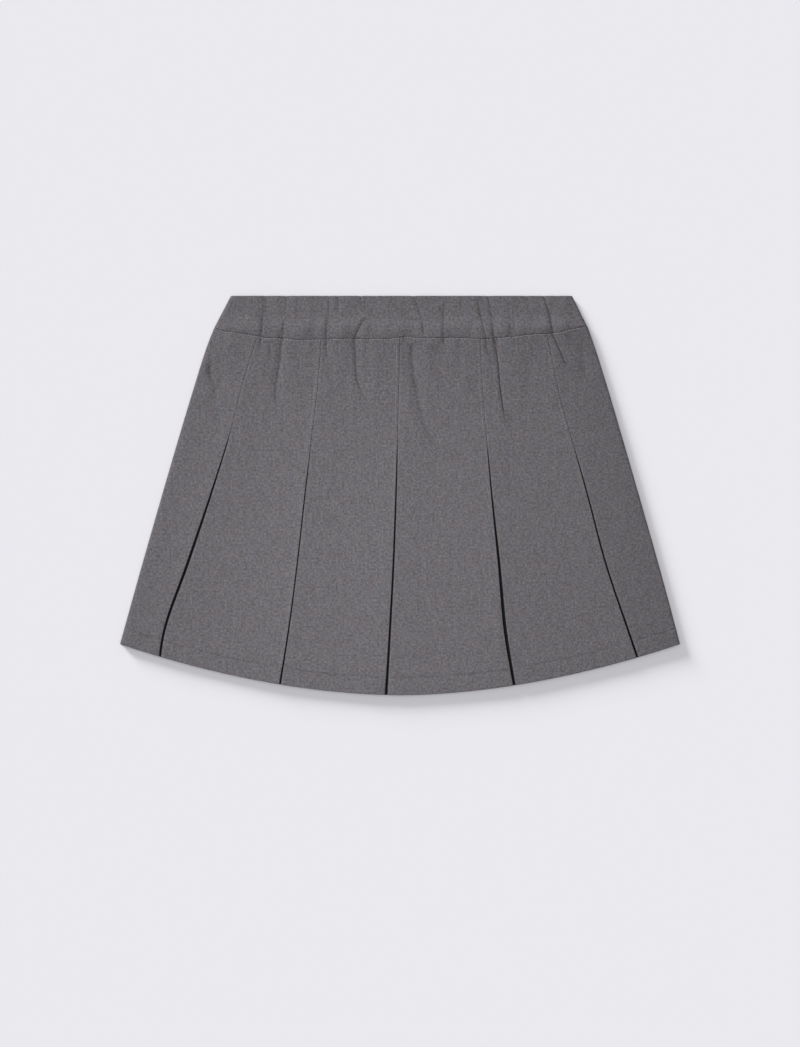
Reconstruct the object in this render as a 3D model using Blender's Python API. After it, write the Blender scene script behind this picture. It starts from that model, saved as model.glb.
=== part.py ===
"""A pleated mini skirt with a gathered elastic waistband, laid flat on its back.

The skirt lies on the plane z = 0, face up. +Y points to the waist, +X to the right as one looks down on it,
and the origin is the middle of its outline. Sizes are in millimetres and become metres in the meshes.
"Depth" is the distance below the top edge of the waistband, measured down the cloth.
Each panel is one wall of cloth, folded into knife pleats: at a pleat the cloth turns back under itself at the
fold, runs back for the underfold, turns again and comes up beside the fold as the next panel.
"""

import math
from collections import namedtuple

import bmesh
import bpy

MM = 0.001

# Driving sizes
LENGTH = 380.0  # top edge to the lowest point of the hem
HEM_BEND = 1.84  # power of the hem's curve, which is a little more pointed than an arc
CLOTH = 1.0  # thickness of a panel's wall
LAYER_GAP = 0.3  # air between folded layers
SEAM_GAP = 0.3  # air between sewn pieces
BAND_WALL = 2.5  # two layers of cloth with the elastic between them
FRONT_UNDERFOLD = 22.0  # how far a pleat turns back under itself
BACK_UNDERFOLD = 20.0
SIDE_ROLL = 7.5  # the front curves down to the side seam over this width
CLOSED = 0.15  # opening of a pleat that is stitched down
BACK_OPENING = 0.5  # the skirt's weight keeps the back's pleats nearly shut

# Sizes that follow
PITCH = CLOTH + LAYER_GAP
FOLD_RADIUS = PITCH / 2
FOLD_REACH = FOLD_RADIUS + CLOTH / 2
STACK = 2 * PITCH  # from the outer layer to the innermost one
FRONT_LEVEL = CLOTH + LAYER_GAP + CLOTH / 2 + STACK  # middle of the front's outer layer
BACK_LEVEL = CLOTH / 2
BAND_TURN = (BAND_WALL + LAYER_GAP) / 2  # the band's middle line turns at its ends with this radius
BAND_REACH = BAND_TURN + BAND_WALL / 2
SIDE_LEVEL = CLOTH + SEAM_GAP + 0.25 * CLOTH  # where the front's wall ends on the back

# How far the side edges stand from the centre line
Outline = namedtuple("Outline", "depth left right")
OUTLINE = (
    Outline(0.0, 161.1, 163.9),
    Outline(12.5, 168.1, 170.7),
    Outline(29.0, 176.2, 178.4),
    Outline(44.0, 182.3, 184.0),
    Outline(61.0, 188.2, 189.6),
    Outline(85.0, 195.6, 197.0),
    Outline(118.0, 205.6, 206.8),
    Outline(190.0, 226.7, 227.6),
    Outline(267.0, 248.7, 249.4),
    Outline(331.4, 266.6, 266.6),
)

# The seam between the waistband and the panels
Seam = namedtuple("Seam", "x depth")
SEAM = (
    Seam(-176.9, 30.5),
    Seam(-150.0, 36.2),
    Seam(-110.0, 40.3),
    Seam(-60.0, 41.2),
    Seam(0.0, 39.8),
    Seam(60.0, 40.2),
    Seam(106.0, 38.6),
    Seam(144.0, 34.9),
    Seam(178.2, 28.5),
)

# The front's pleats, left to right. A fold's x and its opening are given at each of these depths.
PLEAT_DEPTHS = (44.0, 90.0, 125.0, 190.0, 255.0, 320.0, 378.0)
Pleat = namedtuple("Pleat", "fold opening")
FRONT_PLEATS = (
    Pleat(
        fold=(-137.6, -151.7, -160.6, -181.3, -202.6, -224.6, -233.1),
        opening=(CLOSED, CLOSED, CLOSED, 1.0, 2.2, 2.1, 1.7),
    ),
    Pleat(
        fold=(-75.2, -78.9, -82.9, -90.9, -98.9, -107.0, -116.2),
        opening=(CLOSED, CLOSED, CLOSED, 0.8, 1.0, 1.2, 1.5),
    ),
    Pleat(
        fold=(-0.4, -1.3, -2.0, -4.1, -6.4, -9.7, -13.6),
        opening=(CLOSED, CLOSED, CLOSED, 1.0, 1.4, 1.8, 2.3),
    ),
    Pleat(
        fold=(76.2, 78.5, 81.8, 87.5, 93.8, 100.7, 109.5),
        opening=(CLOSED, CLOSED, CLOSED, 0.9, 1.3, 1.7, 1.9),
    ),
    Pleat(
        fold=(141.4, 150.9, 160.2, 178.5, 195.7, 217.9, 238.0),
        opening=(CLOSED, CLOSED, CLOSED, 0.8, 1.0, 1.1, 1.2),
    ),
)

# Creases that the gathers press into the front below the seam. Panel 0 is left of the first pleat. The shares
# run across the panel, at the seam and where the crease fades out, and reach runs from the seam to the hem.
Crease = namedtuple("Crease", "panel at_seam at_end reach sink half_width")
CREASES = (
    Crease(1, 0.08, 0.20, 0.10, 0.6, 2.5),
    Crease(1, 0.42, 0.46, 0.18, 0.9, 3.0),
    Crease(2, 0.06, 0.06, 0.06, 0.6, 2.5),
    Crease(2, 0.41, 0.46, 0.15, 0.9, 2.8),
    Crease(3, 0.26, 0.22, 0.22, 0.6, 7.0),
    Crease(4, 0.05, 0.07, 0.06, 0.5, 2.0),
    Crease(4, 0.17, 0.23, 0.24, 1.0, 3.0),
    Crease(5, 0.09, 0.28, 0.13, 0.9, 2.5),
)
PANEL_PUFF = 1.0  # the gathers lift the front this far at the seam
PUFF_SIDE_FADE = 21.0  # and it dies away this far from the side seams
PUFF_REACH = 0.28  # share of the way to the hem where the lift ends
FLANK_ROOM = 0.7  # a crease beside a fold is as wide as this share of the room there

# Plain columns of each front panel, as shares of its width
FRONT_COLUMNS = (
    (0.35, 0.7),
    (0.65, 0.84),
    (0.22, 0.64, 0.82),
    (0.45, 0.64, 0.82),
    (0.42, 0.62, 0.82),
    (0.62, 0.82),
)
BACK_COLUMNS = ((0.5,), (0.33, 0.67), (0.33, 0.67), (0.33, 0.67), (0.33, 0.67), (0.25, 0.5, 0.75))

# Gathers of the waistband's front. Start and end are shares of the way from the top edge to the seam.
Gather = namedtuple("Gather", "x_top x_seam start end sink half_width")
GATHERS = (
    Gather(-129.5, -131.8, 0.45, 1.0, 0.9, 2.5),
    Gather(-109.5, -111.0, 0.60, 1.0, 0.8, 3.0),
    Gather(-96.5, -99.0, 0.0, 0.6, 0.4, 4.0),
    Gather(-69.0, -70.5, 0.55, 1.0, 0.9, 2.5),
    Gather(-56.9, -58.2, 0.0, 0.55, 0.7, 2.2),
    Gather(-38.1, -43.6, 0.0, 1.0, 0.9, 2.8),
    Gather(10.7, 22.1, 0.0, 1.0, 1.0, 3.0),
    Gather(41.4, 40.3, 0.1, 1.0, 0.9, 2.5),
    Gather(73.5, 79.9, 0.1, 1.0, 0.9, 2.5),
    Gather(83.8, 89.1, 0.0, 1.0, 1.1, 2.4),
    Gather(103.2, 104.5, 0.1, 0.75, 0.4, 3.0),
    Gather(120.7, 124.5, 0.0, 0.3, 0.6, 2.2),
    Gather(137.1, 144.4, 0.0, 1.0, 1.1, 2.5),
)
BAND_LIFT = 0.6  # how far the band's front is puffed up at its edges
BAND_SWELL = 0.6  # and how much more half-way down
BAND_END_FADE = 14.0  # the puff dies away this far from the band's ends
GATHER_FADE = 0.2  # a gather comes in or dies away over this share of the band
COLUMN_SPACING = 16.0  # plain columns between the gathers
BAND_BACK_SPANS = 22

# Rows, as shares of the way down each piece
FRONT_ROWS = (0.0, 0.03, 0.07, 0.12, 0.18, 0.24, 0.32, 0.42, 0.52, 0.62, 0.72, 0.82, 0.91, 1.0)
BACK_ROWS = (0.0, 0.08, 0.18, 0.32, 0.46, 0.6, 0.74, 0.88, 1.0)
BandRow = namedtuple("BandRow", "share wall")
BAND_ROWS = (
    BandRow(0.0, 1.3),
    BandRow(0.04, BAND_WALL),
    BandRow(0.28, BAND_WALL),
    BandRow(0.52, BAND_WALL),
    BandRow(0.76, BAND_WALL),
    BandRow(0.96, BAND_WALL),
    BandRow(1.0, 1.5),
)

# The cloth beside a fold comes up from the innermost layer to the outer one
Rise = namedtuple("Rise", "x height")
RISE = (Rise(0.0, 0.0), Rise(0.45, 0.15), Rise(0.8, 0.5), Rise(1.15, 0.85), Rise(1.7, 1.0))
RISE_FACE = 0.33  # the rise's steep face stands this far past its first point
ROLL_STEPS = (0.0, 0.07, 0.2, 0.42, 0.7, 1.0)
FOLD_STEPS = 4
TURN_STEPS = 3

CLOTH_COLOUR = (0.146, 0.143, 0.151, 1.0)
BAND_COLOUR = (0.150, 0.147, 0.154, 1.0)
CLOTH_ROUGHNESS = 0.85
CREASE_ANGLE = math.radians(50)  # folds turn tighter than this and shade as edges


def mix(start, end, share):
    return start + (end - start) * share


def smooth(share):
    """0 to 1 with no corner at either end."""
    share = min(max(share, 0.0), 1.0)
    return share * share * (3 - 2 * share)


def curve_at(places, values, place):
    """Reads a smooth curve through the values at these places. Past its ends it goes on straight."""
    last = len(places) - 1
    step = sum(1 for inner in places[1:-1] if place > inner)
    width = places[step + 1] - places[step]

    def slope(i):
        before, after = max(i - 1, 0), min(i + 1, last)
        return (values[after] - values[before]) / (places[after] - places[before])

    share = (place - places[step]) / width
    if share < 0:
        return values[0] + slope(0) * (place - places[0])
    if share > 1:
        return values[last] + slope(last) * (place - places[last])
    rise = values[step + 1] - values[step]
    start_bend = width * slope(step) - rise
    end_bend = rise - width * slope(step + 1)
    bend = share * (1 - share) * (start_bend * (1 - share) + end_bend * share)
    return mix(values[step], values[step + 1], share) + bend


def half_width(side, depth):
    """Distance from the centre line to the side edge; side is -1 for the left and 1 for the right."""
    widths = [row.left if side < 0 else row.right for row in OUTLINE]
    return curve_at([row.depth for row in OUTLINE], widths, depth)


def seam_depth(x):
    return curve_at([point.x for point in SEAM], [point.depth for point in SEAM], x)


def hem_depth(x):
    """The hem's lowest point is in the middle, and it rises to the side seams."""
    rise = LENGTH - HEM_END.depth
    return LENGTH - rise * (abs(x) / HEM_END.right) ** HEM_BEND


SEAM_END = {-1: SEAM[0], 1: SEAM[-1]}
HEM_END = OUTLINE[-1]


def edge_of_row(side, share):
    """Half width of the panels at the end of a row, with share 0 at the seam and 1 at the hem."""
    return half_width(side, mix(SEAM_END[side].depth + SEAM_GAP, HEM_END.depth, share))


def panel_depth(x, share):
    """Depth of the point at x on a panel's row: each row is a blend of the seam's wave and the hem's curve."""
    side = -1 if x < 0 else 1
    across = x / edge_of_row(side, share)
    at_seam = seam_depth(across * edge_of_row(side, 0.0)) + SEAM_GAP
    at_hem = hem_depth(across * edge_of_row(side, 1.0))
    return mix(at_seam, at_hem, share)


def band_depth(x, share):
    side = -1 if x < 0 else 1
    at_top, at_seam = half_width(side, 0.0), abs(SEAM_END[side].x)
    across = x / mix(at_top, at_seam, share)
    return share * seam_depth(across * at_seam)


def fold_and_opening(pleat, share):
    """Where a row crosses a pleat's fold line, and how far the pleat stands open there."""
    x = pleat.fold[0]
    for _ in range(5):
        depth = panel_depth(x, share)
        x = curve_at(PLEAT_DEPTHS, pleat.fold, depth)
    return x, max(CLOSED, curve_at(PLEAT_DEPTHS, pleat.opening, depth))


def arc(centre_x, centre_level, start, turn, steps):
    """Points of a cloth's half turn about a centre, from the start angle, in degrees."""
    angles = [math.radians(start + turn * step / steps) for step in range(steps + 1)]
    return [
        (centre_x + FOLD_RADIUS * math.cos(angle), centre_level + FOLD_RADIUS * math.sin(angle))
        for angle in angles
    ]


def pleat_section(fold, opening, underfold):
    """The middle line of one knife pleat whose fold points to +X, as x and height above the outer layer."""
    foot = fold + opening - RISE_FACE
    points = arc(fold - FOLD_REACH, -FOLD_RADIUS, 90, -180, FOLD_STEPS)
    points.append((fold - underfold / 2, -PITCH))
    points += arc(fold - underfold, -PITCH - FOLD_RADIUS, 90, 180, TURN_STEPS)
    points.append((fold - underfold / 2, -STACK))
    points += [(foot + step.x, STACK * (step.height - 1)) for step in RISE]
    return points


def front_row(share):
    """The front's middle line across one row, from the left side seam to the right one."""
    left, right = -edge_of_row(-1, share), edge_of_row(1, share)
    folds = [fold_and_opening(pleat, share) for pleat in FRONT_PLEATS]
    puff = PANEL_PUFF * (1 - smooth(share / PUFF_REACH))

    def roll(step):
        return (FRONT_LEVEL - SIDE_LEVEL) * (math.sqrt(1 - (1 - step) ** 2) - 1)

    starts = [left + SIDE_ROLL]
    starts += [fold + opening - RISE_FACE + RISE[-1].x for fold, opening in folds]
    ends = [fold - FOLD_REACH for fold, _ in folds] + [right - SIDE_ROLL]
    inset = SIDE_ROLL - CLOTH / 2
    points = [(starts[0] - inset * (1 - step), roll(step)) for step in ROLL_STEPS]
    for panel, (start, end) in enumerate(zip(starts, ends)):
        points += panel_columns(panel, start, end, share, puff)
        if panel < len(folds):
            points += pleat_section(*folds[panel], FRONT_UNDERFOLD)
    points += [(ends[-1] + inset * (1 - step), roll(step)) for step in reversed(ROLL_STEPS)]
    return [
        (x, FRONT_LEVEL + level + puff * smooth(min(x - left, right - x) / PUFF_SIDE_FADE))
        for x, level in points
    ]


def panel_columns(panel, start, end, share, puff):
    """Points of the outer layer between two pleats: plain columns, and three for each crease."""
    columns = [(mix(start, end, column), 0.0) for column in FRONT_COLUMNS[panel]]
    for crease in CREASES:
        if crease.panel != panel:
            continue
        fade = smooth(1 - share / crease.reach)
        middle = mix(start, end, mix(crease.at_seam, crease.at_end, min(share / crease.reach, 1.0)))
        flank = min(crease.half_width, FLANK_ROOM * (middle - start))
        columns += [(middle - flank, 0.0), (middle, -min(crease.sink * fade, puff)), (middle + flank, 0.0)]
    return sorted(columns)


def back_row(share):
    """The back's middle line across one row. Its pleats turn the same way round the body as the front's, so
    from above their folds point to -X, and each lies between two of the front's."""
    right = edge_of_row(1, share)
    folds = [fold_and_opening(pleat, share) for pleat in FRONT_PLEATS]
    rise_width = RISE[-1].x - RISE_FACE
    spans = [fold + opening + rise_width for fold, opening in folds]
    limits = [fold - FRONT_UNDERFOLD - FOLD_REACH for fold, _ in folds[1:]] + [right - SIDE_ROLL]
    before, after = BACK_OPENING + rise_width, BACK_UNDERFOLD + FOLD_REACH
    mirrored = sorted(-((start + end + before - after) / 2) for start, end in zip(spans, limits))
    starts = [-right] + [fold + BACK_OPENING + rise_width for fold in mirrored]
    ends = [fold - FOLD_REACH for fold in mirrored] + [edge_of_row(-1, share)]
    points = [(starts[0], 0.0)]
    for panel, (start, end) in enumerate(zip(starts, ends)):
        points += [(mix(start, end, column), 0.0) for column in BACK_COLUMNS[panel]]
        if panel < len(mirrored):
            points += pleat_section(mirrored[panel], BACK_OPENING, BACK_UNDERFOLD)
    points.append((ends[-1], 0.0))
    return [(-x, BACK_LEVEL - level) for x, level in reversed(points)]


def offset(points, distance, closed):
    """The line at this distance to the left of a line of points, with mitred corners."""
    count = len(points)
    shifted = []
    for i, (x, z) in enumerate(points):
        before = points[i - 1] if closed or i else points[i]
        after = points[(i + 1) % count] if closed or i < count - 1 else points[i]
        normals = []
        for (x0, z0), (x1, z1) in ((before, (x, z)), ((x, z), after)):
            length = math.hypot(x1 - x0, z1 - z0)
            if length:
                normals.append((-(z1 - z0) / length, (x1 - x0) / length))
        mean_x = sum(normal[0] for normal in normals) / len(normals)
        mean_z = sum(normal[1] for normal in normals) / len(normals)
        scale = distance / (mean_x**2 + mean_z**2)
        shifted.append((x + mean_x * scale, z + mean_z * scale))
    return shifted


def place(x, depth, z):
    return (x * MM, (LENGTH / 2 - depth) * MM, z * MM)


def wall_object(name, outer_rows, inner_rows, closed, colour):
    """A wall between two grids of points, closed by rims, as one object with its own material."""
    columns = len(outer_rows[0])
    rows = len(outer_rows)
    vertices = [point for row in outer_rows + inner_rows for point in row]
    inner = columns * rows

    def at(row, column):
        return row * columns + column % columns

    faces = []
    spans = columns if closed else columns - 1
    for column in range(spans):
        for row in range(rows - 1):
            quad = (at(row, column), at(row + 1, column), at(row + 1, column + 1), at(row, column + 1))
            faces.append(quad)
            faces.append(tuple(inner + corner for corner in reversed(quad)))
        for row in (0, rows - 1):
            a, b = at(row, column), at(row, column + 1)
            faces.append((a, b, inner + b, inner + a))
    if not closed:
        for column in (0, columns - 1):
            for row in range(rows - 1):
                a, b = at(row, column), at(row + 1, column)
                faces.append((a, b, inner + b, inner + a))
    mesh = bpy.data.meshes.new(name)
    mesh.from_pydata(vertices, [], faces)
    shape = bmesh.new()
    shape.from_mesh(mesh)
    bmesh.ops.recalc_face_normals(shape, faces=shape.faces)
    shape.to_mesh(mesh)
    shape.free()
    mesh.shade_smooth()
    mesh.set_sharp_from_angle(angle=CREASE_ANGLE)
    obj = bpy.data.objects.new(name, mesh)
    bpy.context.scene.collection.objects.link(obj)
    material = bpy.data.materials.new(name + "_cloth")
    material.use_nodes = True
    shader = material.node_tree.nodes["Principled BSDF"]
    shader.inputs["Base Color"].default_value = colour
    shader.inputs["Roughness"].default_value = CLOTH_ROUGHNESS
    shader.inputs["Metallic"].default_value = 0.0
    mesh.materials.append(material)
    return obj


def make_panel(name, row_points, rows):
    outer_rows, inner_rows = [], []
    for share in rows:
        line = row_points(share)
        for side, grid in ((1, outer_rows), (-1, inner_rows)):
            face = offset(line, side * CLOTH / 2, closed=False)
            grid.append([place(x, panel_depth(x, share), z) for x, z in face])
    return wall_object(name, outer_rows, inner_rows, False, CLOTH_COLOUR)


def band_columns():
    """Columns of the band's front as pairs of x at the top edge and at the seam, from left to right."""
    ends = [(side * half_width(side, 0.0), SEAM_END[side].x) for side in (-1, 1)]
    left, right = [
        (top - side * BAND_REACH, seam - side * BAND_REACH) for side, (top, seam) in zip((-1, 1), ends)
    ]
    fixed = [left]
    for gather in GATHERS:
        for shift in (-gather.half_width, 0.0, gather.half_width):
            fixed.append((gather.x_top + shift, gather.x_seam + shift))
    fixed.append(right)
    columns = [left]
    for (top, seam), (next_top, next_seam) in zip(fixed, fixed[1:]):
        steps = max(1, round((next_top - top) / COLUMN_SPACING))
        for step in range(1, steps + 1):
            columns.append((mix(top, next_top, step / steps), mix(seam, next_seam, step / steps)))
    return columns


def band_lift(x, share, left, right):
    """How far the puffed and gathered cloth stands above the band's flat front."""
    lift = BAND_LIFT + BAND_SWELL * math.sin(math.pi * share)
    for gather in GATHERS:
        middle = mix(gather.x_top, gather.x_seam, share)
        near = max(0.0, 1 - abs(x - middle) / gather.half_width)
        starts = 1.0 if gather.start == 0 else smooth((share - gather.start) / GATHER_FADE + 0.5)
        ends = 1.0 if gather.end == 1 else smooth((gather.end - share) / GATHER_FADE + 0.5)
        lift -= gather.sink * near * starts * ends
    return max(lift, 0.0) * smooth(min(x - left, right - x) / BAND_END_FADE)


def make_band():
    """The waistband is one loop pressed flat: a back wall on the ground, two round ends and a front wall."""
    back_level = BAND_WALL / 2
    middle_level = back_level + BAND_TURN
    front_level = middle_level + BAND_TURN
    columns = band_columns()
    outer_rows, inner_rows = [], []
    for row in BAND_ROWS:
        left = -mix(half_width(-1, 0.0), -SEAM_END[-1].x, row.share)
        right = mix(half_width(1, 0.0), SEAM_END[1].x, row.share)
        front = [mix(top, seam, row.share) for top, seam in columns]
        loop = [(x, front_level) for x in front]
        for centre_x, start in ((right - BAND_REACH, 90), (left + BAND_REACH, -90)):
            for step in range(1, TURN_STEPS + 1):
                angle = math.radians(start - 180 * step / (TURN_STEPS + 1))
                x = centre_x + BAND_TURN * math.cos(angle)
                loop.append((x, back_level + BAND_TURN * (1 + math.sin(angle))))
            if start == 90:
                spans = [step / BAND_BACK_SPANS for step in range(BAND_BACK_SPANS + 1)]
                loop += [(mix(front[-1], front[0], span), back_level) for span in spans]
        for side, grid in ((1, outer_rows), (-1, inner_rows)):
            face = offset(loop, side * row.wall / 2, closed=True)
            grid.append([])
            for x, z in face:
                lift = band_lift(x, row.share, left, right) if z > middle_level else 0.0
                grid[-1].append(place(x, band_depth(x, row.share), z + lift))
    return wall_object("waistband", outer_rows, inner_rows, True, BAND_COLOUR)


def clear_scene():
    for obj in list(bpy.data.objects):
        bpy.data.objects.remove(obj, do_unlink=True)


clear_scene()
make_panel("skirt_front", front_row, FRONT_ROWS)
make_panel("skirt_back", back_row, BACK_ROWS)
make_band()
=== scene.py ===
"""The looks of a pleated mini skirt that lies flat on its back, face up.

Sizes are in millimetres and become metres in the meshes. +Y points to the waist and +X to the right. "Depth"
is the distance below the waistband's top edge, measured down the cloth. "Share" is a row's share of the way
from the waist seam to the hem, or of the way down the waistband.

A panel is one closed shell of cloth that follows a section across the skirt, from side seam to side seam:
flat spans, and at each knife pleat a fold, the underfold, a turn, the innermost layer and the rise back to
the outer layer. The back's section is worked out like the front's, and then mirrored and turned over.
"""

import math
from collections import namedtuple
from functools import lru_cache

import bpy
import numpy as np
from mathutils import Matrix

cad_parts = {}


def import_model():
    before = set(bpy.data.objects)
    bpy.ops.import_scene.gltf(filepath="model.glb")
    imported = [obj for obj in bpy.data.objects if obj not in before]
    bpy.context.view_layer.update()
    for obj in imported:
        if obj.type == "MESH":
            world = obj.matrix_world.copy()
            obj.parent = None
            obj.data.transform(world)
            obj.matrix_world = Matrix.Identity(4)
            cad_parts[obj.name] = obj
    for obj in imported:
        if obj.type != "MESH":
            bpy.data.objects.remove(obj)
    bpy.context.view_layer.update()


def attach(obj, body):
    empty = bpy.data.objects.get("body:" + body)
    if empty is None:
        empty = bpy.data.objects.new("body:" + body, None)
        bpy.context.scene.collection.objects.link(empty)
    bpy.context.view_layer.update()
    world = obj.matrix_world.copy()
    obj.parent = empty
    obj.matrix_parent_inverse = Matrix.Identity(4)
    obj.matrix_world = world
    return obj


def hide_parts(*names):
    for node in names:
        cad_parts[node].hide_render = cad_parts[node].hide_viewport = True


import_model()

MM = 0.001

# Main sizes, as in the solids
LENGTH = 380.0
PANEL_LENGTH = 339.0  # from the waist seam to the hem
HEM_BEND = 1.84  # power of the hem's curve
FRONT_TOP = 4.9  # height of the front's outer face
SIDE_ROLL = 7.5
FRONT_UNDERFOLD = 22.0
BACK_UNDERFOLD = 20.0
CLOSED = 0.15  # how far a pleat stands open where it is stitched shut
BACK_OPENING = 0.5
FOLD_REACH = 1.15  # room that the solids give a fold
RISE_ROOM = 1.37  # and the rise beside it
BAND_DEPTH = 40.0
BAND_WALL = 2.5
BAND_TURN = 1.4  # radius of the turns at the ends of the waistband's loop

# The cloth itself, thinner and sewn closer than in the solids
CLOTH = 0.4
HEM_WALL = 0.9  # the hem turn makes two layers
HEM_TURN = 16.5
HEM_STEP = 0.6  # length of the step from one layer to two
HEM_PROUD = 0.1  # the turned cloth lifts the outer face this much
HEM_ROUND = HEM_WALL / 2
HEM_EDGE_LEFT = 0.12  # share of the wall that is left at the hem's round edge
SEAM_GAP = 0.1
LAYER_AIR = 0.2  # between the layers of a pleat
FOLD_CLEARANCE = 0.06
RISE_WIDTH = 1.3
PRESSED_WALL = 0.25  # where a pleat is stitched shut, the stitches squeeze its edge and the rise beside it
PRESSED_RISE = 0.6
PRESSED_GAP = 0.03
OPENS_OVER = 0.35  # a pleat's edge is as thick as its cloth once it stands open this much more
BACK_STITCHED_TO = 130.0
BACK_OPENS_OVER = 40.0
ROLL_POWER = 7.0  # the pressed side seams are much fuller than an ellipse

# Heights of the middle of the cloth where it lies flat
FRONT_LEVEL = FRONT_TOP - CLOTH / 2
BACK_LEVEL = CLOTH / 2
BAND_LEVEL = BAND_WALL / 2
BAND_MIDDLE = BAND_LEVEL + BAND_TURN
BAND_REACH = BAND_TURN + BAND_WALL / 2  # from the waistband's side to the centre of its turn

Outline = namedtuple("Outline", "depth left right")
OUTLINE = (
    Outline(0.0, 161.1, 163.9),
    Outline(12.5, 168.1, 170.7),
    Outline(29.0, 176.2, 178.4),
    Outline(44.0, 182.3, 184.0),
    Outline(61.0, 188.2, 189.6),
    Outline(85.0, 195.6, 197.0),
    Outline(118.0, 205.6, 206.8),
    Outline(190.0, 226.7, 227.6),
    Outline(267.0, 248.7, 249.4),
    Outline(331.4, 266.6, 266.6),
)

# The seam under the waistband, as the gathers pull it
Seam = namedtuple("Seam", "x depth")
SEAM = (
    Seam(-176.9, 30.5), Seam(-163.0, 34.0), Seam(-150.0, 35.4), Seam(-131.0, 39.0), Seam(-112.0, 40.2),
    Seam(-95.0, 41.5), Seam(-75.0, 41.2), Seam(-52.0, 40.4), Seam(-30.0, 40.9), Seam(-12.0, 40.5),
    Seam(6.0, 38.6), Seam(21.0, 40.1), Seam(45.0, 39.6), Seam(62.0, 39.8), Seam(75.0, 40.9),
    Seam(96.0, 39.4), Seam(112.0, 38.2), Seam(130.0, 35.9), Seam(142.0, 35.7), Seam(153.0, 34.2),
    Seam(165.0, 31.3), Seam(178.2, 28.5),
)
SEAM_END = {-1: SEAM[0], 1: SEAM[-1]}
HEM_END = OUTLINE[-1]
Wobble = namedtuple("Wobble", "wavelength phase size")
SEAM_WOBBLES = (Wobble(8.7, 0.4, 0.15), Wobble(13.9, 2.0, 0.18), Wobble(23.3, 4.1, 0.12))
SEAM_PULLS = (Wobble(11.3, 1.0, 0.3), Wobble(29.0, 2.6, 0.3))

# A fold's x, how far the pleat stands open and how much its edge curls up, at each of these depths
PLEAT_DEPTHS = (44.0, 90.0, 125.0, 190.0, 255.0, 320.0, 378.0)
Pleat = namedtuple("Pleat", "fold opening curl stitched_to")
FRONT_PLEATS = (
    Pleat(
        fold=(-137.6, -151.7, -160.4, -181.1, -203.4, -225.7, -231.8),
        opening=(CLOSED, CLOSED, 0.25, 1.35, 2.1, 1.85, 0.85),
        curl=(0.0, 0.0, 0.0, 0.05, -0.1, -0.35, -0.2),
        stitched_to=106.0,
    ),
    Pleat(
        fold=(-75.2, -78.9, -82.9, -90.9, -98.2, -106.8, -116.3),
        opening=(CLOSED, CLOSED, CLOSED, 0.6, 0.55, 0.75, 1.25),
        curl=(0.0, 0.0, 0.0, 0.15, 0.4, 0.45, 0.15),
        stitched_to=132.0,
    ),
    Pleat(
        fold=(-0.4, -1.3, -2.2, -4.4, -7.0, -10.6, -14.2),
        opening=(CLOSED, CLOSED, CLOSED, 0.9, 1.35, 1.65, 2.0),
        curl=(0.0, 0.0, 0.0, 0.45, -0.15, -0.2, -0.2),
        stitched_to=130.0,
    ),
    Pleat(
        fold=(76.2, 78.5, 81.4, 86.8, 93.1, 98.9, 109.0),
        opening=(CLOSED, CLOSED, CLOSED, 0.95, 2.05, 2.65, 1.85),
        curl=(0.0, 0.0, 0.0, 0.05, -0.05, -0.4, -0.15),
        stitched_to=134.0,
    ),
    Pleat(
        fold=(141.4, 150.9, 160.2, 178.0, 195.1, 216.8, 237.0),
        opening=(CLOSED, CLOSED, CLOSED, 0.75, 1.05, 1.3, 1.25),
        curl=(0.0, 0.0, 0.0, 0.1, 0.15, 0.05, -0.05),
        stitched_to=128.0,
    ),
)
CURL_REACH = 3.2  # the curl begins this far from the fold

# How the front's spans hang from the height of their solid. Each sags between its two folds, and below the
# seam its two ends stand higher, as the folded layers spring.
Hang = namedtuple("Hang", "sag start end")
NO_HANG = Hang(0.0, 0.0, 0.0)
HANGS = (
    Hang(0.5, 1.2, 1.3),
    Hang(1.2, 1.3, 1.3),
    Hang(1.2, 1.3, 1.3),
    Hang(1.1, 1.3, 1.3),
    Hang(0.9, 1.3, 1.1),
    Hang(0.1, 0.8, 1.3),
)
SIDE_HANG = 0.5  # the right side seam stands up by this share even at the waist, on its seam allowances
HANG_START = 0.05  # shares of the way from the seam to the hem
HANG_FULL = 0.45
HEM_HANG = 0.5  # the stiff hem turn keeps this share of the sag
LAST_SPAN_SHADE = (0.04, 0.072)  # painted shade on the last span, at its fold and at the side seam
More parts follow.
